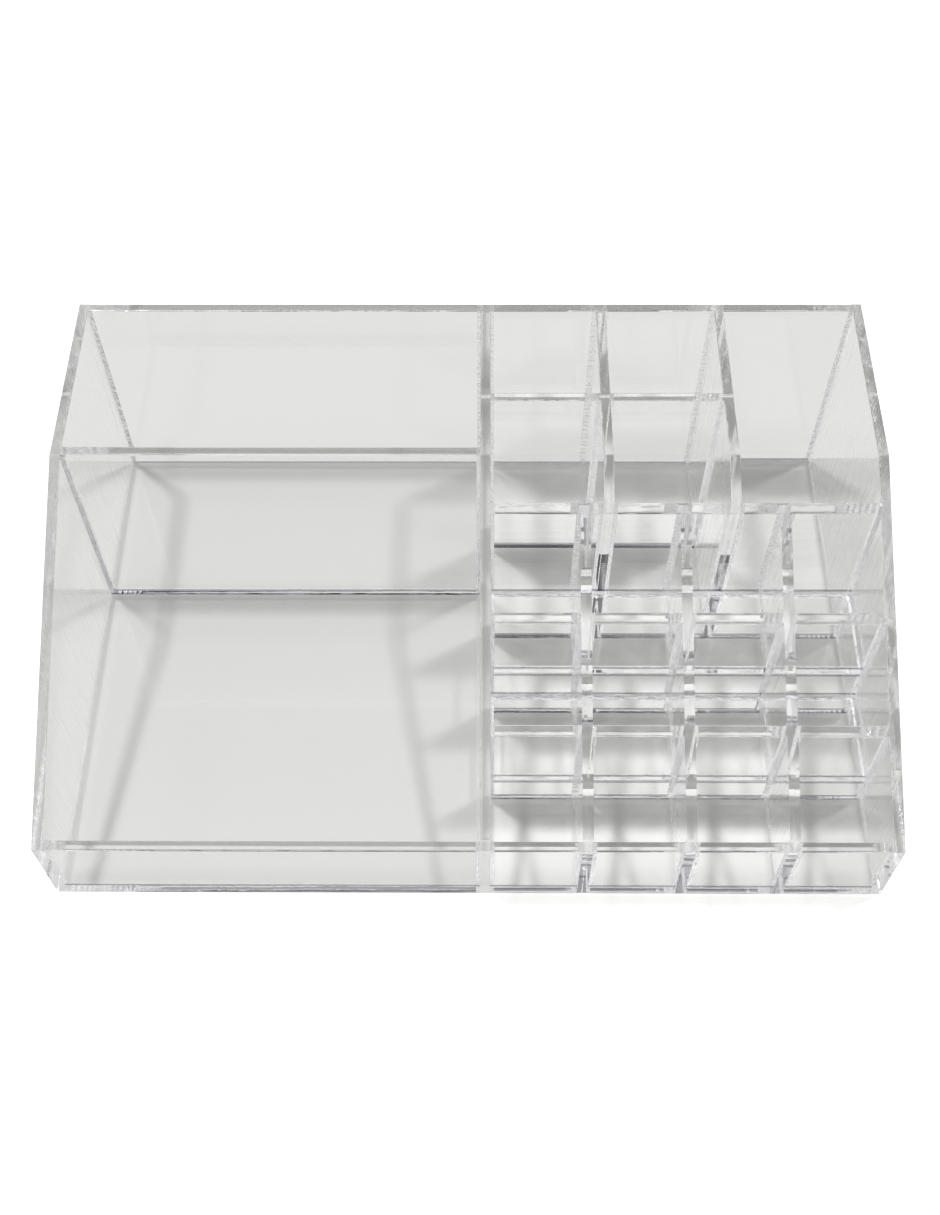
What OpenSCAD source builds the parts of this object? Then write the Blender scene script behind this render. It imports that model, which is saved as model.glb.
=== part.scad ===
// Organizer for cosmetics, cemented together from clear acrylic sheet.
// A low tray and a tall pocket stand on the left. Twelve lipstick wells, on three stepped floors,
// and five deep compartments stand on the right. Every wall stands on one base plate.
// X runs to the right, Y from the front to the back and Z up. The origin is on the table,
// below the middle of the organizer.

/* [Outside] */
// Width over the two side panels
body_w = 240; // [220:1:300]
// Depth from the front face to the back face
body_d = 161; // [150:1:200]
// Height of the level top
body_h = 76; // [65:0.5:110]
// Height of the front panel, where the sloping top starts
front_h = 30.5; // [20:0.5:45]
// Depth of the level top, from the back face forward
level_top_d = 59; // [45:0.5:75]

/* [Sheet] */
// Thickness of the acrylic sheet
sheet_t = 3; // [2:0.1:4]

/* [Left side] */
// Clear depth of the tall pocket behind the tray
pocket_d = 53; // [30:0.5:70]

/* [Lipstick wells] */
// Clear width of one well
well_w = 25.4; // [22:0.1:27]
// Clear depth of one well, front to back
well_d = 25.8; // [22:0.1:27]
// Rise from the floor of one row of wells to the floor of the row behind it
well_step = 13; // [6:0.5:18]

/* [Rear compartments] */
// Clear width of the compartments beside the main divider
rear_first_w = 32.2; // [25:0.1:40]
// Clear width of the compartments in the middle
rear_second_w = 33.1; // [25:0.1:40]
// Clear depth of the small compartments against the back panel
rear_cell_d = 32.6; // [20:0.1:40]

/* [Hidden] */

// The wells stand in a grid of this many columns and rows
well_columns = 4;
well_rows = 3;

// A half-lap joint takes this share of the height from the panel that is slotted from below
lap_share = 1 / 2;

// How far a cutting shape runs past the panel that it cuts
overrun = 1;

acrylic = [0.84, 0.87, 0.88, 0.5];

// Inner faces of the four outer panels, and the level top's front edge
inner_left = sheet_t - body_w / 2;
inner_right = body_w / 2 - sheet_t;
inner_front = sheet_t - body_d / 2;
inner_back = body_d / 2 - sheet_t;
front_face = -body_d / 2;
back_face = body_d / 2;
fold_y = back_face - level_top_d;

// From one well to the next, across and back
column_pitch = well_w + sheet_t;
row_pitch = well_d + sheet_t;

// The main divider leaves the right side exactly as wide as its wells and their dividers
main_divider_x = inner_right - well_columns * column_pitch;
wells_left = main_divider_x + sheet_t;
rear_left_x = wells_left + rear_first_w;
rear_right_x = rear_left_x + sheet_t + rear_second_w;
rear_cross_y = inner_back - rear_cell_d - sheet_t;
pocket_wall_y = inner_back - pocket_d - sheet_t;

// Height of the top edge, at a place between the front and the back
function top_z(y) =
  y >= fold_y ? body_h : front_h + (body_h - front_h) * (y - front_face) / (fold_y - front_face);

// Left face of a divider between the columns of wells, counted from 1
function divider_x(column) = wells_left + column * column_pitch - sheet_t;

// Front and back edge of one row of wells, counted from 0 at the front
function row_front(row) = inner_front + row * row_pitch;
function row_back(row) = row_front(row) + well_d;

// Top of the floor of one row of wells
function floor_z(row) = sheet_t + row * well_step;

// Height of the half-lap joint where a divider crosses the wall behind a row
function lap_z(row) =
  floor_z(row + 1) + (top_z(row_back(row)) - floor_z(row + 1)) * lap_share;

// Height of the half-lap joint of the rear cross wall
rear_lap_z = sheet_t + (body_h - sheet_t) * lap_share;

// Corners of the top edge from y1 forward to y0, with the fold where the level top ends
function top_edge(y0, y1) = concat(
  [[y1, top_z(y1)]],
  y0 < fold_y && fold_y < y1 ? [[fold_y, body_h]] : [],
  [[y0, top_z(y0)]]
);

// A panel whose outline lies in Y and Z, pushed out from x0 to x1
module side_view(x0, x1, outline)
  translate([x0, 0, 0])
    rotate([90, 0, 90])
      linear_extrude(x1 - x0)
        polygon(outline);

// An upright panel from x0 to x1 and y0 to y1 that reaches from z0 up to the top edge
module upright(x0, x1, y0, y1, z0 = sheet_t)
  color(acrylic)
    side_view(x0, x1, concat([[y0, z0], [y1, z0]], top_edge(y0, y1)));

// Five panels make the outer box
module base_plate()
  color(acrylic)
    translate([-body_w / 2, front_face, 0])
      cube([body_w, body_d, sheet_t]);

module side_panel(x0)
  upright(x0, x0 + sheet_t, front_face, back_face);

module left_side_panel()
  side_panel(-body_w / 2);

module right_side_panel()
  side_panel(inner_right);

module back_panel()
  upright(inner_left, inner_right, inner_back, back_face);

// The front panel ends square, at the height where the slope starts
module front_panel()
  color(acrylic)
    translate([inner_left, front_face, sheet_t])
      cube([inner_right - inner_left, sheet_t, front_h - sheet_t]);

// The main divider parts the left side from the right side, front to back
module main_divider()
  upright(main_divider_x, wells_left, inner_front, inner_back);

// The pocket wall parts the tray from the tall pocket behind it
module pocket_wall()
  upright(inner_left, main_divider_x, pocket_wall_y, pocket_wall_y + sheet_t);

// A wall behind one row of wells, over the whole right side
module wall_behind(row)
  upright(wells_left, inner_right, row_back(row), row_back(row) + sheet_t);

// The two walls that the dividers cross have a slot from above for each divider
module slotted_wall_behind(row)
  color(acrylic)
    difference() {
      wall_behind(row);
      for (column = [1 : well_columns - 1])
        translate([divider_x(column), row_back(row) - overrun, lap_z(row)])
          cube([sheet_t, sheet_t + 2 * overrun, body_h]);
    }

module lipstick_cross_wall_front()
  slotted_wall_behind(0);

module lipstick_cross_wall_middle()
  slotted_wall_behind(1);

module lipstick_cross_wall_back()
  wall_behind(well_rows - 1);

// The floor of one raised row of wells, between the walls in front of it and behind it
module raised_floor(row)
  color(acrylic)
    translate([wells_left, row_front(row), floor_z(row) - sheet_t])
      cube([inner_right - wells_left, well_d, sheet_t]);

module lipstick_floor_middle()
  raised_floor(1);

module lipstick_floor_back()
  raised_floor(2);

// Lower edge of a divider: a foot on the floor of each row, and between two feet a slot
// that drops over the cross wall
function divider_foot(row) = [[row_front(row), floor_z(row)], [row_back(row), floor_z(row)]];
function divider_slot(row) = [[row_back(row), lap_z(row)], [row_front(row + 1), lap_z(row)]];

function divider_lower_edge() = [
  for (row = [0 : well_rows - 1])
    for (corner = concat(divider_foot(row), row < well_rows - 1 ? divider_slot(row) : []))
      corner
];

// A divider between two columns of wells
module lipstick_divider(column)
  color(acrylic)
    side_view(
      divider_x(column),
      divider_x(column) + sheet_t,
      concat(divider_lower_edge(), top_edge(inner_front, row_back(well_rows - 1)))
    );

module lipstick_divider_left()
  lipstick_divider(1);

module lipstick_divider_middle()
  lipstick_divider(2);

module lipstick_divider_right()
  lipstick_divider(3);

// A divider of the rear compartments, from the wells' last wall to the back panel
module rear_divider(x0)
  upright(x0, x0 + sheet_t, row_back(well_rows - 1) + sheet_t, inner_back);

// The left one has a slot from below that drops over the rear cross wall
module rear_divider_left()
  color(acrylic)
    difference() {
      rear_divider(rear_left_x);
      translate([rear_left_x - overrun, rear_cross_y, 0])
        cube([sheet_t + 2 * overrun, sheet_t, rear_lap_z]);
    }

module rear_divider_right()
  rear_divider(rear_right_x);

// The rear cross wall makes four small compartments out of two, with a slot from above
module rear_cross_wall()
  color(acrylic)
    difference() {
      upright(wells_left, rear_right_x, rear_cross_y, rear_cross_y + sheet_t);
      translate([rear_left_x, rear_cross_y - overrun, rear_lap_z])
        cube([sheet_t, sheet_t + 2 * overrun, body_h]);
    }

base_plate();
left_side_panel();
right_side_panel();
back_panel();
front_panel();
main_divider();
pocket_wall();
lipstick_cross_wall_front();
lipstick_cross_wall_middle();
lipstick_cross_wall_back();
lipstick_floor_middle();
lipstick_floor_back();
lipstick_divider_left();
lipstick_divider_middle();
lipstick_divider_right();
rear_divider_left();
rear_divider_right();
rear_cross_wall();
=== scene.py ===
# %% [markdown]
# # A cosmetics organizer of clear acrylic sheet
#
# The real object is cut from cast acrylic sheet, flame-polished at its edges and joined with
# solvent cement. Clear plastic is the hard case of a render: nothing on it has a colour of its
# own, and all that we see is light that bends at a surface. So the sheets are modelled as closed
# pieces at their true thickness, and the joints are treated as what they are, places where two
# sheets have become one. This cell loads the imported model, which says where each sheet lies.

# %% Load the frame
import math

import bpy
from mathutils import Matrix, Vector


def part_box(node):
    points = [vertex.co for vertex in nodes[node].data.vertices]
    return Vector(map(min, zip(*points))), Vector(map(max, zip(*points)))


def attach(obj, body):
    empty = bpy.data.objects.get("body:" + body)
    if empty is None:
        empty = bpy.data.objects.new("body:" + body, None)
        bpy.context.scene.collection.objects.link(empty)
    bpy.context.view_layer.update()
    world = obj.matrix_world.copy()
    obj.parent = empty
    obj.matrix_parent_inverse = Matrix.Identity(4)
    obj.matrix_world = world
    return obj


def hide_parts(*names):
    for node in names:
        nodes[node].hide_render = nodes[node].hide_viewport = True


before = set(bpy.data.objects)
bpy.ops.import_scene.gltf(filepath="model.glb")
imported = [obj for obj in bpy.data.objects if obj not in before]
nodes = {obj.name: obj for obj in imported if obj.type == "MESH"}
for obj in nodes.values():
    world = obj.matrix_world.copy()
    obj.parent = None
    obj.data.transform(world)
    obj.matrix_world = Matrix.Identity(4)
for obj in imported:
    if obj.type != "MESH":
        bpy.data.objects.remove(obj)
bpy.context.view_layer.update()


print("Sheets in the frame:", len(nodes))

# %% [markdown]
# ## Sizes
#
# Nothing is measured twice. The height of the front panel and the line where the sloping top
# meets the level top could be typed in again, but they are read off the sheets in the frame, so
# the scene follows the model when a size changes there.

# %% Read the sizes off the frame
MM = 0.001
# Two places closer than this are the same place
TINY = 0.01 * MM
X_AXIS, Y_AXIS, Z_AXIS = range(3)


def low(name):
    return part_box(name)[0]


def high(name):
    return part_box(name)[1]


def thin_axis(name):
    """The axis along which a sheet measures its thickness."""
    size = high(name) - low(name)
    return min(range(3), key=lambda axis: size[axis])


front_face = low("left_side_panel").y
front_height = high("front_panel").z
body_height = high("back_panel").z
side_corners = [v.co for v in nodes["left_side_panel"].data.vertices]
fold_y = min(corner.y for corner in side_corners if corner.z > body_height - TINY)
slope = (body_height - front_height) / (fold_y - front_face)
print(f"Front {front_height / MM:.1f} mm high, back {body_height / MM:.1f} mm high")
print(f"Slope {math.degrees(math.atan(slope)):.1f} degrees")

# %% [markdown]
# ## Camera
#
# The photograph was taken from above and in front, almost in line with the main divider. A
# camera could be placed by eye and nudged until the picture fits. Here its place, pitch, yaw,
# roll and focal length were solved from the corners of the object in the photograph, so that
# every sheet comes out where the photograph has it.

# %% Set up the camera
IMAGE_W, IMAGE_H = 940, 1215
SENSOR_MM = 36
FOCAL_PX = 1479.0
PITCH = math.radians(57.336)
YAW = math.radians(-0.795)
ROLL = math.radians(-0.581)
CAMERA_PLACE = Vector((3.68, -243.06, 408.02)) * MM
NEAREST_SEEN = 10 * MM


def turned(angle, axis):
    """A turn about one axis, as a matrix of four rows and columns."""
    return Matrix.Rotation(angle, 4, axis)


camera_data = bpy.data.cameras.new("camera")
camera_data.sensor_width = SENSOR_MM
camera_data.lens = SENSOR_MM * FOCAL_PX / max(IMAGE_W, IMAGE_H)
camera_data.clip_start = NEAREST_SEEN
camera = bpy.data.objects.new("camera", camera_data)
bpy.context.collection.objects.link(camera)
turn = turned(-YAW, "Z") @ turned(math.pi / 2 - PITCH, "X") @ turned(ROLL, "Z")
camera.matrix_world = Matrix.Translation(CAMERA_PLACE) @ turn
bpy.context.scene.camera = camera
print(f"Lens {camera_data.lens:.2f} mm")

# %% [markdown]
# ## Table
#
# The organizer stands on a plain white table. A backdrop could be bent up behind it, but the
# camera looks down and sees nothing but table, so one wide plane does for it. It lies a hair
# below the base plate, because two faces at the same height would come out in patches.

# %% Lay the table
FLOOR_SIZE = 6.0
FLOOR_GAP = 0.05 * MM

bpy.ops.object.select_all(action="DESELECT")
bpy.ops.mesh.primitive_plane_add(size=FLOOR_SIZE, location=(0, 0, -FLOOR_GAP))
floor = bpy.context.active_object
floor.name = "floor"
bpy.ops.object.transform_apply(location=True, rotation=True, scale=True)
print("Table", FLOOR_SIZE, "m across")

# %% [markdown]
# ## Sums in node trees
#
# A material and the world are trees of nodes. Each node could be added and linked by hand, but
# a few steps come again and again: a sum, a soft step from 0 to 1, a band between two values,
# and a mix of two values. Each gets a function, so that the finishes below read like a recipe.

# %% Make the helpers for sums and fades
def feed(tree, socket, value):
    """Links a socket to another node's output, or sets it to a number or a colour."""
    if isinstance(value, bpy.types.NodeSocket):
        tree.links.new(value, socket)
    else:
        socket.default_value = value


def math_node(tree, operation, first, second):
    node = tree.nodes.new("ShaderNodeMath")
    node.operation = operation
    for socket, value in zip(node.inputs, (first, second)):
        feed(tree, socket, value)
    return node.outputs["Value"]


def fade(tree, value, start, end):
    """Goes softly from 0 at the start to 1 at the end, whichever of the two is the higher."""
    node = tree.nodes.new("ShaderNodeMapRange")
    node.interpolation_type = "SMOOTHSTEP"
    feed(tree, node.inputs["Value"], value)
    node.inputs["From Min"].default_value = min(start, end)
    node.inputs["From Max"].default_value = max(start, end)
    node.inputs["To Min"].default_value = 0.0 if start < end else 1.0
    node.inputs["To Max"].default_value = 1.0 if start < end else 0.0
    return node.outputs["Result"]


print("Helpers for sums and fades are ready")

# %% Make the helpers for bands and mixes
# A Mix node has sockets for each kind of data. These are the places of its factor, and of the
# two inputs and the output of a kind.
MIX_FACTOR = 0
MIX_SOCKETS = {"FLOAT": (2, 3, 0), "RGBA": (6, 7, 2)}


def within(tree, value, start, end, rim, level):
    """The level where the value lies between start and end, and 0 outside, with soft rims."""
    level = math_node(tree, "MULTIPLY", fade(tree, value, start - rim, start + rim), level)
    return math_node(tree, "MULTIPLY", fade(tree, value, end + rim, end - rim), level)


def mix(tree, kind, factor, first, second):
    """The first value where the factor is 0, and the second where it is 1 or more."""
    node = tree.nodes.new("ShaderNodeMix")
    node.data_type = kind
    node.clamp_factor = True
    first_place, second_place, result_place = MIX_SOCKETS[kind]
    feed(tree, node.inputs[MIX_FACTOR], factor)
    feed(tree, node.inputs[first_place], first)
    feed(tree, node.inputs[second_place], second)
    return node.outputs[result_place]


print("Kinds of mix:", ", ".join(MIX_SOCKETS))

# %% [markdown]
# ## Table finish
#
# In the photograph the table is plain white around the organizer, and a light grey with soft
# shadows below it. Lamps strong enough for that white would bleach the plastic. So the table is
# grey, and the Light Path node adds light to it for what the camera sees directly, and a little
# for what is seen through the plastic or reflected in it. Its shadows stay. Below the wells the
# grey is paler. That stands for the light that the many walls there send down to the table.

# %% Make the helpers for the table's finish
CAMERA_LIFT = 0.72
THROUGH_LIFT = 0.04


def new_material(name):
    """A material with one shader, ready to be fed."""
    material = bpy.data.materials.new(name)
    material.use_nodes = True
    tree = material.node_tree
    tree.nodes.clear()
    shader = tree.nodes.new("ShaderNodeBsdfPrincipled")
    out = tree.nodes.new("ShaderNodeOutputMaterial")
    feed(tree, out.inputs["Surface"], shader.outputs["BSDF"])
    return material, tree, shader


def split_place(tree, kind):
    """A place or a direction as three numbers, by the names X, Y and Z."""
    split = tree.nodes.new("ShaderNodeSeparateXYZ")
    feed(tree, split.inputs["Vector"], tree.nodes.new("ShaderNodeTexCoord").outputs[kind])
    return split.outputs


def table_lift(tree):
    """The light that the table adds for the camera, or a little through or off the plastic."""
    path = tree.nodes.new("ShaderNodeLightPath").outputs
    shiny = math_node(tree, "MAXIMUM", path["Is Glossy Ray"], path["Is Transmission Ray"])
    direct = math_node(tree, "MULTIPLY", path["Is Camera Ray"], CAMERA_LIFT)
    through = math_node(tree, "MULTIPLY", shiny, THROUGH_LIFT)
    return math_node(tree, "MAXIMUM", direct, through)


print("Light added to the table for the camera:", CAMERA_LIFT)

# %% Paint the table
WHITE = (1, 1, 1, 1)
TABLE_COLOR = (0.62, 0.62, 0.62, 1)
BRIGHT_COLOR = (0.80, 0.80, 0.80, 1)
BRIGHT_RIM = 3 * MM
TABLE_ROUGHNESS = 0.6

paint, tree, shader = new_material("white_table")
place = split_place(tree, "Object")
wells_left, wells_right = high("main_divider").x, low("right_side_panel").x
wells_front, wells_back = low("main_divider").y, high("main_divider").y
bright = within(tree, place["X"], wells_left, wells_right, BRIGHT_RIM, 1.0)
bright = within(tree, place["Y"], wells_front, wells_back, BRIGHT_RIM, bright)
feed(tree, shader.inputs["Base Color"], mix(tree, "RGBA", bright, TABLE_COLOR, BRIGHT_COLOR))
shader.inputs["Roughness"].default_value = TABLE_ROUGHNESS
shader.inputs["Specular IOR Level"].default_value = 0.0
shader.inputs["Emission Color"].default_value = WHITE
feed(tree, shader.inputs["Emission Strength"], table_lift(tree))
floor.data.materials.append(paint)
print(f"Paler from x = {wells_left / MM:.1f} to {wells_right / MM:.1f} mm")

# %% [markdown]
# ## Lamps
#
# The shadows in the photograph come from two lamps above and a little behind the organizer, one
# on each side, and a weak third one far behind. Area lamps would do, but a sun lamp shines alike
# on the whole object, and its width alone says how soft the shadows are.

# %% Hang the three lamps
# The direction in which each lamp stands, its level, and its width in degrees
LAMPS = {
    "left_lamp": (Vector((-0.255, 0.215, 1)), 1.60, 5),
    "right_lamp": (Vector((0.375, 0.215, 1)), 1.20, 5),
    "back_lamp": (Vector((-0.48, 1.04, 1)), 0.30, 8),
}

for name, (direction, level, width) in LAMPS.items():
    lamp_data = bpy.data.lights.new(name, "SUN")
    lamp_data.energy = level
    lamp_data.angle = math.radians(width)
    lamp_data.cycles.use_multiple_importance_sampling = False
    lamp = bpy.data.objects.new(name, lamp_data)
    lamp.rotation_euler = direction.to_track_quat("Z", "Y").to_euler()
    bpy.context.collection.objects.link(lamp)
print("Lamps:", len(LAMPS))

# %% [markdown]
# ## Room
#
# A clear edge shows a small bent picture of the room: lamps, windows, walls and dark places. A
# photograph of a room could be wrapped round the scene, but it would be a file to carry. Five
# patches of light and a dark beam in an otherwise dim world are enough, because nobody can read
# the picture in an edge 3 mm wide. The dark beam takes light away, for the dark lines there.

# %% Describe the room
ROOM_LEVEL = 0.35
SOFT_RIM = 0.05

# Each patch fills the directions between two values of x, of y and of z, and adds its level
PATCHES = {
    "left lamp": ((-0.34, -0.14), (0.10, 0.30), (0.3, 1.0), 3.0),
    "right lamp": ((0.25, 0.45), (0.10, 0.30), (0.3, 1.0), 3.0),
    "left window": ((-1.1, -0.55), (-0.1, 0.6), (0.15, 0.75), 2.4),
    "right wall": ((0.6, 1.1), (-0.2, 0.7), (0.0, 0.6), 1.3),
    "dark beam": ((-0.30, 0.10), (0.42, 0.62), (0.3, 1.0), -0.30),
    "horizon": ((-1.1, 1.1), (0.0, 1.1), (0.0, 0.30), 1.0),
}


def room_light(tree):
    """The light that comes from the room in each direction."""
    direction = split_place(tree, "Generated")
    room = ROOM_LEVEL
    for *ranges, level in PATCHES.values():
        for axis, (start, end) in zip("XYZ", ranges):
            level = within(tree, direction[axis], start, end, SOFT_RIM, level)
        room = math_node(tree, "ADD", level, room)
    return room


print("Patches in the room:", len(PATCHES))

# %% [markdown]
# ## World
#
# The patches are there for clear plastic alone. They would light the table unevenly, so the
# table is lit by an even fill instead, a little yellow as in the photograph. The camera sees
# plain white behind the table. The Light Path node tells the three apart.

# %% Light the studio
ROOM_COLOR = (0.95, 0.95, 1.0, 1)
FILL_LEVEL = 0.29
FILL_COLOR = (1.0, 1.0, 0.935, 1)
BACKDROP_LEVEL = 1.0

world = bpy.data.worlds.new("studio")
world.cycles.sampling_method = "NONE"
world.use_nodes = True
bpy.context.scene.world = world
tree = world.node_tree
tree.nodes.clear()

path = tree.nodes.new("ShaderNodeLightPath").outputs
light = mix(tree, "FLOAT", path["Diffuse Depth"], room_light(tree), FILL_LEVEL)
light = mix(tree, "FLOAT", path["Is Camera Ray"], light, BACKDROP_LEVEL)
tone = mix(tree, "RGBA", path["Diffuse Depth"], ROOM_COLOR, FILL_COLOR)
tone = mix(tree, "RGBA", path["Is Camera Ray"], tone, WHITE)
background = tree.nodes.new("ShaderNodeBackground")
feed(tree, background.inputs["Strength"], light)
feed(tree, background.inputs["Color"], tone)
world_out = tree.nodes.new("ShaderNodeOutputWorld")
feed(tree, world_out.inputs["Surface"], background.outputs["Background"])
print("Nodes in the world:", len(tree.nodes))

# %% [markdown]
# ## Light paths
#
# A ray that enters this organizer crosses many faces before it comes out: each sheet has two,
# and six sheets can stand behind each other. With the usual limit of bounces it would die inside
# and leave a black spot, so the limit is raised well above what the sheets need.

# %% Let light bend often
LIGHT_BOUNCES = 48

cycles = bpy.context.scene.cycles
cycles.max_bounces = LIGHT_BOUNCES
cycles.transmission_bounces = LIGHT_BOUNCES
cycles.glossy_bounces = LIGHT_BOUNCES
cycles.transparent_max_bounces = LIGHT_BOUNCES
cycles.blur_glossy = 0.0
bpy.context.scene.view_settings.view_transform = "Standard"
print("Light bounces:", LIGHT_BOUNCES)

# %% [markdown]
# ## Cutting sheet
#
# Each sheet could be typed in as a list of corners. It is easier to follow, and to change, when
# it is made as in the workshop: a cube primitive at its size and place is the blank, and a
# bisect trims it along the sloping top as the saw does.

# %% Make the saw
# A corner nearer to the cut than this is taken to lie on it
SAW_THRESHOLD = TINY / 10


def select_only(sheet):
    bpy.ops.object.select_all(action="DESELECT")
    bpy.context.view_layer.objects.active = sheet
    sheet.select_set(True)


def start_sheet(name, low_corner, high_corner):
    """A block of acrylic with the given corners, as a mesh of its own."""
    bpy.ops.object.select_all(action="DESELECT")
    bpy.ops.mesh.primitive_cube_add(size=1, location=(low_corner + high_corner) / 2)
    sheet = bpy.context.active_object
    sheet.name = name
    sheet.data.name = name
    sheet.scale = high_corner - low_corner
    bpy.ops.object.transform_apply(location=True, rotation=True, scale=True)
    return sheet


def saw(sheet, point, normal, keep_below=False):
    """A straight cut through the whole sheet. What lies on the normal's side falls off, if asked."""
    select_only(sheet)
    bpy.ops.object.mode_set(mode="EDIT")
    bpy.ops.mesh.select_all(action="SELECT")
    bpy.ops.mesh.bisect(plane_co=point, plane_no=normal, use_fill=keep_below,
                        clear_outer=keep_below, threshold=SAW_THRESHOLD)
    bpy.ops.object.mode_set(mode="OBJECT")


def trim_to_slope(sheet):
    saw(sheet, Vector((0, fold_y, body_height)), Vector((0, -slope, 1)), keep_below=True)


print(f"Sloping tops end {fold_y / MM:.1f} mm behind the middle")

# %% [markdown]
# ## The outer box
#
# The base plate reaches under all the others, and the two side panels stand on it with the
# sloping top that gives the organizer its shape. The back panel is level with the top and the
# front panel is low, so both are plain blanks.

# %% Cut the outer panels
sheets = {}


def cut_sheet(name, sloping=False):
    sheet = start_sheet(name + "_sheet", low(name), high(name))
    if sloping:
        trim_to_slope(sheet)
    sheets[name] = sheet


cut_sheet("base_plate")
cut_sheet("left_side_panel", sloping=True)
cut_sheet("right_side_panel", sloping=True)
cut_sheet("back_panel")
cut_sheet("front_panel")
print("Outer panels:", len(sheets))

# %% [markdown]
# ## The left side
#
# One divider runs from the front to the back, and one wall parts the tray from the tall pocket.
# Both are sawn along the same slope as the side panels, so all the top edges line up.

# %% Cut the main divider and the pocket wall
cut_sheet("main_divider", sloping=True)
cut_sheet("pocket_wall", sloping=True)
print("Sheets so far:", len(sheets))

# %% [markdown]
# ## The lipstick wells
#
# Three walls run across the wells, and two raised floors lie between them, so that each row of
# lipsticks stands higher than the one in front. A raised floor is a strip of sheet, and the
# front row stands on the base plate itself.

# %% Cut the cross walls and the raised floors
ROWS = ["front", "middle", "back"]
CROSSED_ROWS = ROWS[:2]
RAISED_ROWS = ROWS[1:]

for row in ROWS:
    cut_sheet("lipstick_cross_wall_" + row, sloping=True)
for row in RAISED_ROWS:
    cut_sheet("lipstick_floor_" + row)
print("Sheets so far:", len(sheets))

# %% [markdown]
# ## Slots
#
# Where two sheets cross, each has a slot over half its height, and they slide into each other
# as an egg crate does. A slot could be drawn into the outline of the blank. A boolean with a
# block does the same in one step, and the block runs past the sheet, as a saw blade does, so
# that no thin skin is left.

# %% Make the slot cutter
SAW_OVERRUN = 1 * MM


def carve(sheet, low_corner, high_corner):
    """Takes a block out of the sheet."""
    cutter = start_sheet("cutter", low_corner, high_corner)
    cut = sheet.modifiers.new("carve", "BOOLEAN")
    cut.operation = "DIFFERENCE"
    cut.solver = "EXACT"
    cut.object = cutter
    select_only(sheet)
    bpy.ops.object.modifier_apply(modifier=cut.name)
    bpy.data.objects.remove(cutter, do_unlink=True)


def lap_height(wall, divider):
    """Where the slot of the wall ends, read off the wall in the frame."""
    left = low(divider).x
    corners = [v.co.z for v in nodes[wall].data.vertices if abs(v.co.x - left) < TINY]
    return min(z for z in corners if z > low(wall).z + TINY)


def slot_wall(wall, divider):
    """The slot in a wall, from above, that takes the divider."""
    start = Vector((low(divider).x, low(wall).y - SAW_OVERRUN, lap_height(wall, divider)))
    end = Vector((high(divider).x, high(wall).y + SAW_OVERRUN, body_height + SAW_OVERRUN))
    carve(sheets[wall], start, end)


def slot_divider(divider, wall):
    """The slot in a divider, from below, that drops over the wall."""
    start = Vector((low(divider).x - SAW_OVERRUN, low(wall).y, -SAW_OVERRUN))
    end = Vector((high(divider).x + SAW_OVERRUN, high(wall).y, lap_height(wall, divider)))
    carve(sheets[divider], start, end)


first_lap = lap_height("lipstick_cross_wall_front", "lipstick_divider_left")
print(f"First half-lap joint at {first_lap / MM:.1f} mm")

# %% [markdown]
# ## The dividers of the wells
#
# Each of the three dividers steps up toward the back, because it stands on the raised floors,
# and it drops over the front and the middle cross wall. The steps and slots are carved one
# after another, and each wall gets its matching slot at once.

# %% Cut the dividers of the wells
COLUMNS = ["left", "middle", "right"]


def clear_step(divider, row):
    """Takes the divider away from the space of a raised floor, and of all below it."""
    step = "lipstick_floor_" + row
    past_back = SAW_OVERRUN if row == ROWS[-1] else 0.0
    start = Vector((low(divider).x - SAW_OVERRUN, low(step).y, -SAW_OVERRUN))
    end = Vector((high(divider).x + SAW_OVERRUN, high(step).y + past_back, high(step).z))
    carve(sheets[divider], start, end)


for column in COLUMNS:
    divider = "lipstick_divider_" + column
    cut_sheet(divider, sloping=True)
    for row in RAISED_ROWS:
        clear_step(divider, row)
    for row in CROSSED_ROWS:
        wall = "lipstick_cross_wall_" + row
        slot_divider(divider, wall)
        slot_wall(wall, divider)
print("Sheets so far:", len(sheets))

# %% [markdown]
# ## The rear compartments
#
# Two dividers run back from the last row of wells, and one short wall crosses the left one. It
# ends at the right one, so the compartment beside that is the largest. The same saw and the same
# slots make all three, because a new tool would only be another place for a mistake.

# %% Cut the rear dividers and their cross wall
cut_sheet("rear_divider_left", sloping=True)
cut_sheet("rear_divider_right", sloping=True)
cut_sheet("rear_cross_wall")
slot_divider("rear_divider_left", "rear_cross_wall")
slot_wall("rear_cross_wall", "rear_divider_left")
print("Sheets in all:", len(sheets))

# %% [markdown]
# ## Where neighbours meet
#
# A finish belongs to a whole face, but a sheet is clear in one place, cemented in another, and
# has a small fillet of cement along each inner corner. The sheets could be merged into one
# body, but then no sheet would be a piece of its own. So each face is split along the outline
# of every neighbour, and once more a bead's width away from it.

# %% Split the faces where the neighbours meet them
# Width of the fillet of cement in an inner corner
BEAD = 1.1 * MM
# Cuts are told apart to a thousandth of a millimetre
CUT_DIGITS = 6


def touches(one, other):
    """Whether the boxes of two sheets meet."""
    return all(low(one)[axis] < high(other)[axis] + TINY
               and low(other)[axis] < high(one)[axis] + TINY for axis in range(3))


def neighbours_of(name):
    return [other for other in sheets if other != name and touches(name, other)]


def find_cuts(name):
    """The planes, each as an axis and a place on it, where a sheet has to be split."""
    cuts = set()
    for other in neighbours_of(name):
        for axis in range(3):
            start, end = low(other)[axis], high(other)[axis]
            for place in (start - BEAD, start, end, end + BEAD):
                if low(name)[axis] + TINY < place < high(name)[axis] - TINY:
                    cuts.add((axis, round(place, CUT_DIGITS)))
    return sorted(cuts)


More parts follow.
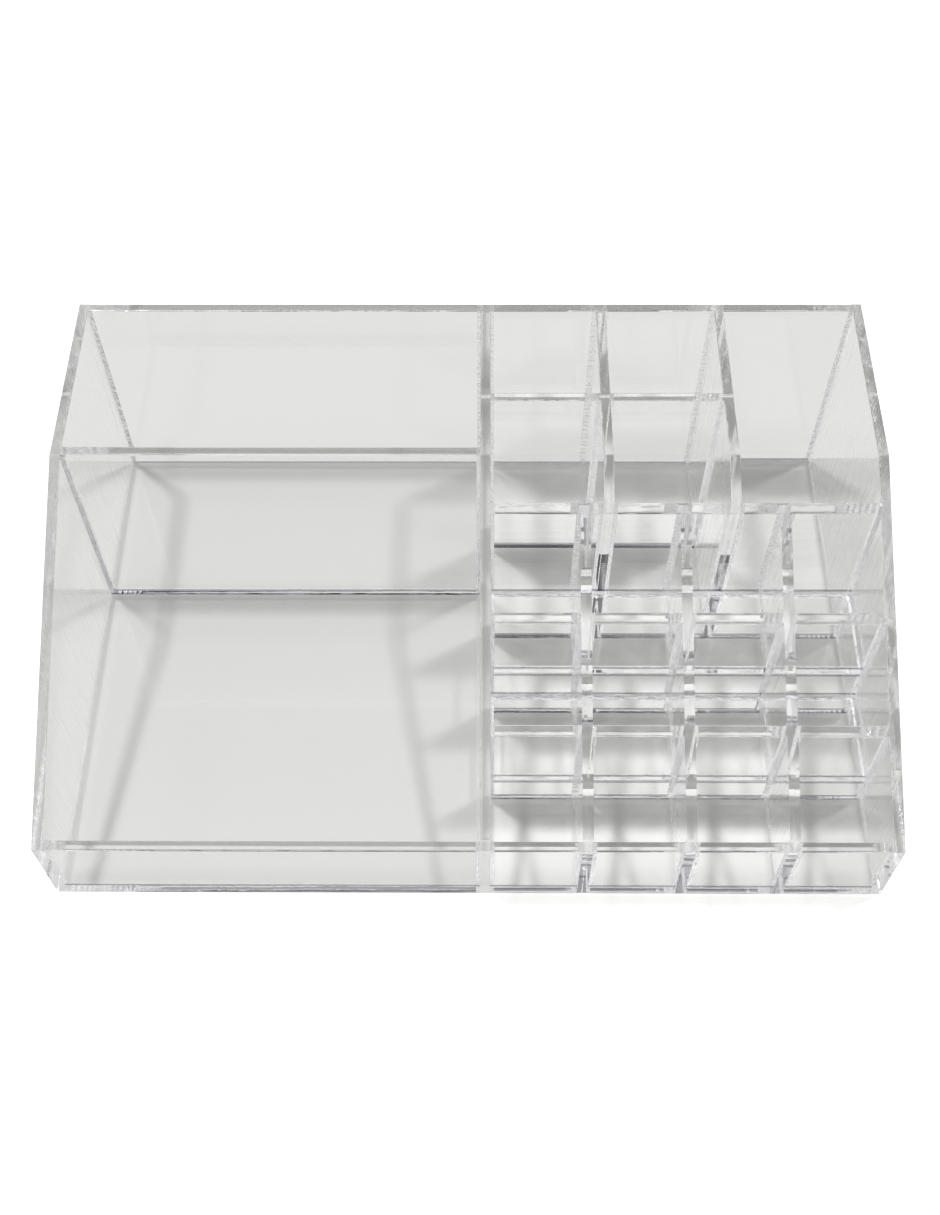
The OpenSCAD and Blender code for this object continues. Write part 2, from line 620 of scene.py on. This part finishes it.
cut_count = 0
for name, sheet in sheets.items():
    for axis, place in find_cuts(name):
        point, normal = Vector((0, 0, 0)), Vector((0, 0, 0))
        point[axis], normal[axis] = place, 1
        saw(sheet, point, normal)
        cut_count += 1
print("Planes that split the sheets:", cut_count)

# %% [markdown]
# ## Kinds of faces
#
# Solvent cement melts two faces into one, so light runs through a joint without bending. A face
# whose middle, pushed out a hair, lies inside a neighbour is such a joint. The other faces are
# broad faces, sawn edges, or narrow strips along an inner corner. On the sheets that run across,
# the strip along the foot is painted dark: painted shade where the wall meets the table. Each
# other strip has a fillet.
# All this could be selected by hand, but code finds it again when a size changes.

# %% Tell the kinds of faces apart
# The kinds have the order of the materials on each sheet. A well face is a broad face of a
# panel or a floor on the right side, where the wells and the rear compartments are.
FACE, EDGE, JOINT, WELL_FACE, CORNER, FOOT = range(6)
# A point this far off a face lies clearly inside a neighbour or clearly outside it
HAIR = 0.05 * MM
# The middle of a strip lies half a bead from its neighbour
NEAR_BEAD = 0.6 * BEAD
# The normal of a broad face follows the sheet's thin axis at least this closely
ALIGNED = 0.9


def inside(name, point):
    """Whether a point a hair off a face lies inside the neighbour."""
    found, nearest, normal, _ = nodes[name].closest_point_on_mesh(point)
    gap = point - nearest
    return found and gap.length < 2 * HAIR and gap.dot(normal) < -HAIR / 2


def near(name, point, reach):
    found, nearest, _, _ = nodes[name].closest_point_on_mesh(point)
    return found and (point - nearest).length < reach


def beside_corner(name, face):
    """Whether the face is a strip that runs along an inner corner with this neighbour."""
    return near(name, face.center + face.normal * BEAD / 2, NEAR_BEAD)


def kind_of(face, thin, neighbours, floors):
    """The kind of one face, from its direction and from what lies beside it."""
    probe = face.center + face.normal * HAIR
    if any(inside(other, probe) for other in neighbours):
        return JOINT
    if abs(face.normal[thin]) < ALIGNED:
        return EDGE
    if thin == Y_AXIS and any(beside_corner(other, face) for other in floors):
        return FOOT
    if any(beside_corner(other, face) for other in neighbours):
        return CORNER
    on_right_side = face.center.x > high("main_divider").x
    return WELL_FACE if on_right_side and thin != X_AXIS else FACE


print("Kinds of faces:", FOOT + 1)

# %% [markdown]
# ## Fillets of cement
#
# A fillet could be modelled, but it is a hair-thin curved wedge in every inner corner. The
# shading alone gives its glint: each corner of a strip that touches the neighbour gets the
# value 1 in an attribute, the others 0, and a bump reads it as height further down.

# %% Sort the faces and mark the fillets
RISE_NAME = "corner_rise"


def sort_faces(name):
    """Gives each face its kind, and the corners of a strip their rise toward the neighbour."""
    mesh = sheets[name].data
    thin = thin_axis(name)
    neighbours = neighbours_of(name)
    floors = [other for other in neighbours if thin_axis(other) == Z_AXIS]
    rise = mesh.attributes.new(RISE_NAME, "FLOAT", "CORNER")
    for face in mesh.polygons:
        face.material_index = kind_of(face, thin, neighbours, floors)
        if face.material_index != CORNER:
            continue
        for corner in face.loop_indices:
            place = mesh.vertices[mesh.loops[corner].vertex_index].co
            rise.data[corner].value = float(any(near(other, place, TINY) for other in neighbours))


joint_area = 0
for name, sheet in sheets.items():
    sort_faces(name)
    joint_area += sum(f.area for f in sheet.data.polygons if f.material_index == JOINT)
print(f"Joint faces in all: {joint_area / MM / MM:.0f} square millimetres")

# %% [markdown]
# ## Polished edges
#
# A torch rounds a sawn edge by a few tenths of a millimetre. A Bevel modifier would round every
# edge of a sheet, but only those that lie open are round: where two sheets are cemented, the
# arris is gone. So the open edges are picked in code and the bevel operator rounds them.

# %% Round the open edges
POLISH = 0.4 * MM
POLISH_STEPS = 3
SHARP = math.radians(20)


def lies_open(mesh, edge, pair):
    """Whether an edge between two faces is sharp, points outward and has no joint beside it."""
    if len(pair) != 2 or any(face.material_index == JOINT for face in pair):
        return False
    if pair[0].normal.angle(pair[1].normal) < SHARP:
        return False
    middle = (mesh.vertices[edge.key[0]].co + mesh.vertices[edge.key[1]].co) / 2
    return (pair[1].center - middle).dot(pair[0].normal) <= 0


def select_open_edges(mesh):
    beside = {}
    for face in mesh.polygons:
        for key in face.edge_keys:
            beside.setdefault(key, []).append(face)
    count = 0
    for edge in mesh.edges:
        if lies_open(mesh, edge, beside[edge.key]):
            edge.select = True
            count += 1
    return count


rounded = 0
for sheet in sheets.values():
    select_only(sheet)
    bpy.ops.object.mode_set(mode="EDIT")
    bpy.ops.mesh.select_mode(type="EDGE")
    bpy.ops.mesh.select_all(action="DESELECT")
    bpy.ops.object.mode_set(mode="OBJECT")
    count = select_open_edges(sheet.data)
    rounded += count
    if count == 0:
        continue
    bpy.ops.object.mode_set(mode="EDIT")
    bpy.ops.mesh.bevel(offset=POLISH, segments=POLISH_STEPS, affect="EDGES", clamp_overlap=True)
    bpy.ops.object.mode_set(mode="OBJECT")
print("Edges rounded:", rounded)

# %% [markdown]
# ## Texture maps
#
# The cube primitive brings a UV map along, and its last digits come out a little differently in
# each run once the sheets are sawn and rounded. A finish could be laid on it, but the waves below
# lie on Object coordinates, so nothing reads it any more. It goes here and not at the start,
# because the rounded faces take other finishes when the bevel finds no map.

# %% Drop the texture maps
for sheet in sheets.values():
    while sheet.data.uv_layers:
        sheet.data.uv_layers.remove(sheet.data.uv_layers[0])
print("Texture maps left:", sum(len(sheet.data.uv_layers) for sheet in sheets.values()))

# %% [markdown]
# ## Waves in the surface
#
# Sheet isn't quite flat. Casting leaves long soft waves on the broad faces, some faces are
# streaked, and the torch leaves short ripples on the edges. They could be modelled, but they are
# a few hundredths of a millimetre deep, so a bump does for them. One node group makes them all
# from two sizes of noise on Object coordinates. A stretch below 1 along an axis draws the waves
# out into streaks that way. Each material takes the group with its own values.

# %% Start the shared wave group
WAVE_INPUTS = {
    "Stretch X": 1.0,
    "Stretch Y": 1.0,
    "Stretch Z": 1.0,
    "Waves Per Metre": 40.0,
    "Ripples Per Metre": 400.0,
    "Ripple Share": 0.1,
}

surface_waves = bpy.data.node_groups.new("surface_waves", "ShaderNodeTree")
for name, value in WAVE_INPUTS.items():
    socket = surface_waves.interface.new_socket(name=name, in_out="INPUT",
                                                socket_type="NodeSocketFloat")
    socket.default_value = value
surface_waves.interface.new_socket(name="Height", in_out="OUTPUT", socket_type="NodeSocketFloat")
print("Inputs of the wave group:", len(WAVE_INPUTS))

# %% Fill the wave group
NOISE_DETAIL = 2.0

settings = surface_waves.nodes.new("NodeGroupInput").outputs
stretch = surface_waves.nodes.new("ShaderNodeCombineXYZ")
for axis in "XYZ":
    feed(surface_waves, stretch.inputs[axis], settings["Stretch " + axis])
stretched = surface_waves.nodes.new("ShaderNodeVectorMath")
stretched.operation = "MULTIPLY"
coordinates = surface_waves.nodes.new("ShaderNodeTexCoord")
feed(surface_waves, stretched.inputs[0], coordinates.outputs["Object"])
feed(surface_waves, stretched.inputs[1], stretch.outputs["Vector"])


def add_noise(per_metre):
    noise = surface_waves.nodes.new("ShaderNodeTexNoise")
    noise.inputs["Detail"].default_value = NOISE_DETAIL
    feed(surface_waves, noise.inputs["Vector"], stretched.outputs["Vector"])
    feed(surface_waves, noise.inputs["Scale"], per_metre)
    return noise.outputs["Fac"]


waves = add_noise(settings["Waves Per Metre"])
ripples = add_noise(settings["Ripples Per Metre"])
small = math_node(surface_waves, "MULTIPLY", ripples, settings["Ripple Share"])
group_out = surface_waves.nodes.new("NodeGroupOutput")
feed(surface_waves, group_out.inputs["Height"], math_node(surface_waves, "ADD", waves, small))
print("Nodes in the group:", len(surface_waves.nodes))

# %% [markdown]
# ## Lamp light through the sheets
#
# A real sheet lets lamp light through, and bends it into bright and dark bands on the table.
# The renderer takes a clear face for a solid one when a lamp looks for the table, and to trace
# the bent light would take far too long. So each finish lets a share of the light straight
# through: its Alpha is lowered for shadow rays alone. The shares were chosen to give the bands of
# the photograph, and the panels that run across let less through near their foot.

# %% Let lamp light through a finish
FOOT_LOW = 22 * MM
FOOT_HIGH = 42 * MM


def add_shadow(tree, shader, passed, passed_low):
    """Lets a share of a lamp's light through the face, and another share near the table."""
    if passed_low != passed:
        up = fade(tree, split_place(tree, "Object")["Z"], FOOT_LOW, FOOT_HIGH)
        more = math_node(tree, "MULTIPLY", up, passed - passed_low)
        passed = math_node(tree, "ADD", more, passed_low)
    shadow_ray = tree.nodes.new("ShaderNodeLightPath").outputs["Is Shadow Ray"]
    through = math_node(tree, "MULTIPLY", shadow_ray, passed)
    feed(tree, shader.inputs["Alpha"], math_node(tree, "SUBTRACT", 1.0, through))


print(f"Walls pass more light from {FOOT_LOW / MM:.0f} to {FOOT_HIGH / MM:.0f} mm up")

# %% [markdown]
# ## Acrylic
#
# Acrylic bends light a little less than glass does, and takes almost none of it away. A Glass
# shader would do, but the Principled shader with full transmission is what other programs can
# read. All that differs from one finish to the next is the unevenness, the share of lamp light
# and the roughness, so one function makes them all.

# %% Make a recipe for clear finishes
ACRYLIC_COLOR = (0.992, 0.992, 0.992, 1)
ACRYLIC_IOR = 1.49


def add_bump(tree, shader, stretch, waves, ripples, ripple_share, height, rise):
    """Tilts the normals by the shared waves, and toward the inner corner if there is a rise."""
    group = tree.nodes.new("ShaderNodeGroup")
    group.node_tree = surface_waves
    for axis, value in zip("XYZ", stretch):
        group.inputs["Stretch " + axis].default_value = value
    group.inputs["Waves Per Metre"].default_value = waves
    group.inputs["Ripples Per Metre"].default_value = ripples
    group.inputs["Ripple Share"].default_value = ripple_share
    level = group.outputs["Height"]
    if rise:
        corner = tree.nodes.new("ShaderNodeAttribute")
        corner.attribute_name = RISE_NAME
        fillet = math_node(tree, "MULTIPLY", corner.outputs["Fac"], rise)
        level = math_node(tree, "ADD", fillet, level)
    bump = tree.nodes.new("ShaderNodeBump")
    bump.inputs["Strength"].default_value = 1.0
    bump.inputs["Distance"].default_value = height
    feed(tree, bump.inputs["Height"], level)
    feed(tree, shader.inputs["Normal"], bump.outputs["Normal"])


def acrylic(name, surface, passed, passed_low=None, roughness=0.0, rise=0.0, color=ACRYLIC_COLOR):
    """A clear finish with its own surface and its own share of lamp light let through."""
    material, tree, shader = new_material(name)
    add_shadow(tree, shader, passed, passed if passed_low is None else passed_low)
    add_bump(tree, shader, rise=rise, **surface)
    shader.inputs["Base Color"].default_value = color
    shader.inputs["IOR"].default_value = ACRYLIC_IOR
    shader.inputs["Transmission Weight"].default_value = 1.0
    shader.inputs["Roughness"].default_value = roughness
    return material


print("Acrylic bends light by", ACRYLIC_IOR)

# %% [markdown]
# ## Broad faces
#
# Most broad faces are calm. The side panels and the dividers are streaked from top to bottom in
# the photograph. Each could have a noise of its own, but two sets of values for the one wave
# group do it. The walls across the wells pass little lamp light, which gives the dark bands in
# each row, and the right side panel passes less than the left one.

# %% Finish the broad faces
CALM = dict(stretch=(1, 1, 1), waves=45, ripples=380, ripple_share=0.06, height=0.02 * MM)
UPRIGHT_CALM = dict(CALM, stretch=(1, 1, 0.4))
STREAKED = dict(stretch=(1, 1, 0.04), waves=250, ripples=1100, ripple_share=0.3, height=0.06 * MM)

# Shares of lamp light that pass a face
CLEAR_SHARE = 0.97
CLEAR_SHARE_LOW = 0.68
STEP_SHARE = 0.98
CROSS_SHARE = 0.3
RIGHT_SHARE = 0.6

flat_face = acrylic("acrylic_flat_face", CALM, CLEAR_SHARE)
step_face = acrylic("acrylic_step_face", CALM, STEP_SHARE)
cross_face = acrylic("acrylic_cross_face", UPRIGHT_CALM, CROSS_SHARE)
side_face = acrylic("acrylic_side_face", STREAKED, CLEAR_SHARE)
right_face = acrylic("acrylic_right_side_face", STREAKED, RIGHT_SHARE)
panel_face = acrylic("acrylic_panel_face", UPRIGHT_CALM, CLEAR_SHARE, CLEAR_SHARE_LOW)
print("Streaks per metre:", STREAKED["waves"])

# %% [markdown]
# ## Edges and cement
#
# A polished edge is rippled and very slightly rough. The top edges of the side panels and the
# dividers stop the lamp light, which draws their shadows on the table. The fillets are the
# liveliest surface of all, because cement sets unevenly. The strip along the foot of the sheets
# that run across is painted dark, as painted shade where the wall meets the table.

# %% Finish the edges and the fillets
TORCHED = dict(stretch=(1, 1, 1), waves=120, ripples=900, ripple_share=0.1, height=0.02 * MM)
UPRIGHT_BEAD = dict(stretch=(1, 1, 1), waves=500, ripples=1800, ripple_share=0.6, height=1.1 * MM)
FLOOR_BEAD = dict(stretch=(1, 1, 1), waves=500, ripples=1800, ripple_share=0.5, height=0.6 * MM)
FILM = dict(stretch=(0.3, 1, 1), waves=300, ripples=900, ripple_share=0.3, height=0.1 * MM)

TORCHED_ROUGHNESS = 0.02
SIDE_EDGE_SHARE = 0.04
BEAD_SHARE = 0.9
UPRIGHT_RISE = 0.9
FLOOR_RISE = 0.8
FILM_SHARE = 0.5
# Painted shade: the dark colour of the strip along the foot of the sheets that run across
FOOT_SHADE_COLOR = (0.2, 0.2, 0.22, 1)

side_edge = acrylic("acrylic_side_edge", TORCHED, SIDE_EDGE_SHARE, roughness=TORCHED_ROUGHNESS)
panel_edge = acrylic("acrylic_panel_edge", TORCHED, CLEAR_SHARE, roughness=TORCHED_ROUGHNESS)
upright_corner = acrylic("acrylic_upright_corner", UPRIGHT_BEAD, BEAD_SHARE, rise=UPRIGHT_RISE)
floor_corner = acrylic("acrylic_floor_corner", FLOOR_BEAD, BEAD_SHARE, rise=FLOOR_RISE)
# The strip along the foot is painted dark, as painted shade at the wall's foot
foot_shade_line = acrylic("painted_foot_shade", FILM, FILM_SHARE, color=FOOT_SHADE_COLOR)
print("Fillet of cement", BEAD / MM, "mm wide")

# %% [markdown]
# ## Cemented joints
#
# A joint is two faces in the same place, one of each sheet, and light has to run through both
# as if they weren't there. Deleting them would leave the sheets open. Alpha 0 makes them vanish
# for every ray but one: a shadow ray meets a little resistance, for the film of cement.

# %% Finish the joints
CEMENT_SHARE = 0.3

cement, tree, shader = new_material("cemented_joint")
shadow_ray = tree.nodes.new("ShaderNodeLightPath").outputs["Is Shadow Ray"]
feed(tree, shader.inputs["Alpha"], math_node(tree, "MULTIPLY", shadow_ray, CEMENT_SHARE))
print("Joints stop this share of lamp light:", CEMENT_SHARE)

# %% [markdown]
# ## Dress the sheets
#
# A sheet's finishes depend on how it stands. Those that are thin along X are the side panels and
# the dividers, those thin along Y are the walls across, and those thin along Z are the base
# plate and the raised floors. Each sheet gets one material slot for each kind of face.

# %% Give each sheet its finishes
# Broad faces, edges, well faces and corner strips, by the sheet's thin axis
LOOKS = {
    X_AXIS: (side_face, side_edge, side_face, upright_corner),
    Y_AXIS: (panel_face, panel_edge, cross_face, upright_corner),
    Z_AXIS: (flat_face, panel_edge, step_face, floor_corner),
}

for name, sheet in sheets.items():
    broad_face, edge, well_face, corner = LOOKS[thin_axis(name)]
    if name == "right_side_panel":
        broad_face = right_face
        well_face = right_face
    for material in (broad_face, edge, cement, well_face, corner, foot_shade_line):
        sheet.data.materials.append(material)
used = {material.name for sheet in sheets.values() for material in sheet.data.materials}
print("Finishes:", len(used))

# %% [markdown]
# ## Hand the pieces over
#
# Each modelled sheet takes the place of the sheet in the frame with the same name. Nothing on
# the organizer moves, so all of them ride on its one body.

# %% Finish
for name, sheet in sheets.items():
    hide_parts(name)
    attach(sheet, "root")
